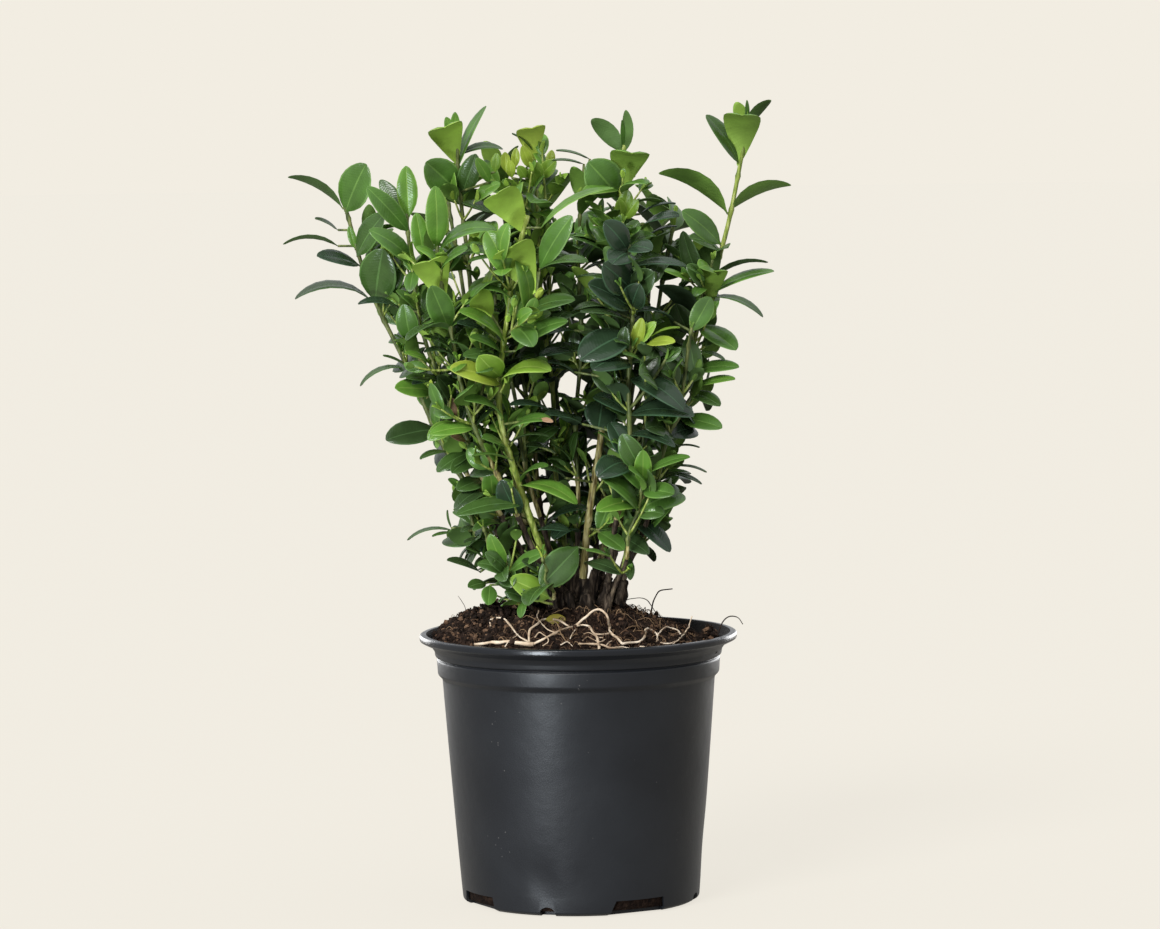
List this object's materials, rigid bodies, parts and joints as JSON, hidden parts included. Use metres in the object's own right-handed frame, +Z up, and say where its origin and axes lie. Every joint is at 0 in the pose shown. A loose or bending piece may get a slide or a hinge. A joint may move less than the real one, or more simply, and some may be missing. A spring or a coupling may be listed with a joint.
{
  "type": "potted boxwood shrub",
  "caption": "Young many-stemmed boxwood shrub with small oval evergreen leaves, growing in mounded soil in a tapered black nursery pot.",
  "frame": {"origin": "centre of the pot's flat underside", "axes": "+Z up along the pot's axis, -Y towards the shrub's front, +X to its right as seen from the front"},
  "size_m": [0.2042, 0.1456, 0.3278],
  "materials": {
    "pot": "black satin injection-moulded plastic",
    "soil": "dark moist peat potting soil",
    "bark": "rough grey-brown bark",
    "green_stem": "smooth yellow-green young bark",
    "foliage": "glossy dark to fresh green leaves"
  },
  "bodies": {
    "root": {"foliage_back": "foliage", "foliage_back_left": "foliage", "foliage_back_right": "foliage", "foliage_centre_right": "foliage", "foliage_far_left": "foliage", "foliage_far_right": "foliage", "foliage_front": "foliage", "foliage_inner_back": "foliage", "foliage_inner_back_right": "foliage", "foliage_inner_left": "foliage", "foliage_inner_middle": "foliage", "foliage_inner_right": "foliage", "foliage_left": "foliage", "foliage_left_front": "foliage", "foliage_left_inner": "foliage", "foliage_low_back": "foliage", "foliage_low_back_left": "foliage", "foliage_low_back_right": "foliage", "foliage_low_front": "foliage", "foliage_low_front_left": "foliage", "foliage_low_front_right": "foliage", "foliage_low_left": "foliage", "foliage_low_right": "foliage", "foliage_middle": "foliage", "foliage_right": "foliage", "foliage_right_front": "foliage", "foliage_top_left": "foliage", "foliage_top_middle": "foliage", "foliage_top_right": "foliage", "pot": "pot", "root_crown": "bark", "soil": "soil", "stem_back": "green_stem", "stem_back_left": "green_stem", "stem_back_right": "green_stem", "stem_centre_right": "green_stem", "stem_far_left": "green_stem", "stem_far_right": "green_stem", "stem_front": "green_stem", "stem_left": "green_stem", "stem_left_front": "green_stem", "stem_left_inner": "green_stem", "stem_low_back_right": "green_stem", "stem_low_right": "green_stem", "stem_middle": "green_stem", "stem_right": "green_stem", "stem_right_front": "green_stem", "stem_top_left": "green_stem", "stem_top_middle": "green_stem", "stem_top_right": "green_stem"}
  },
  "joints": []
}
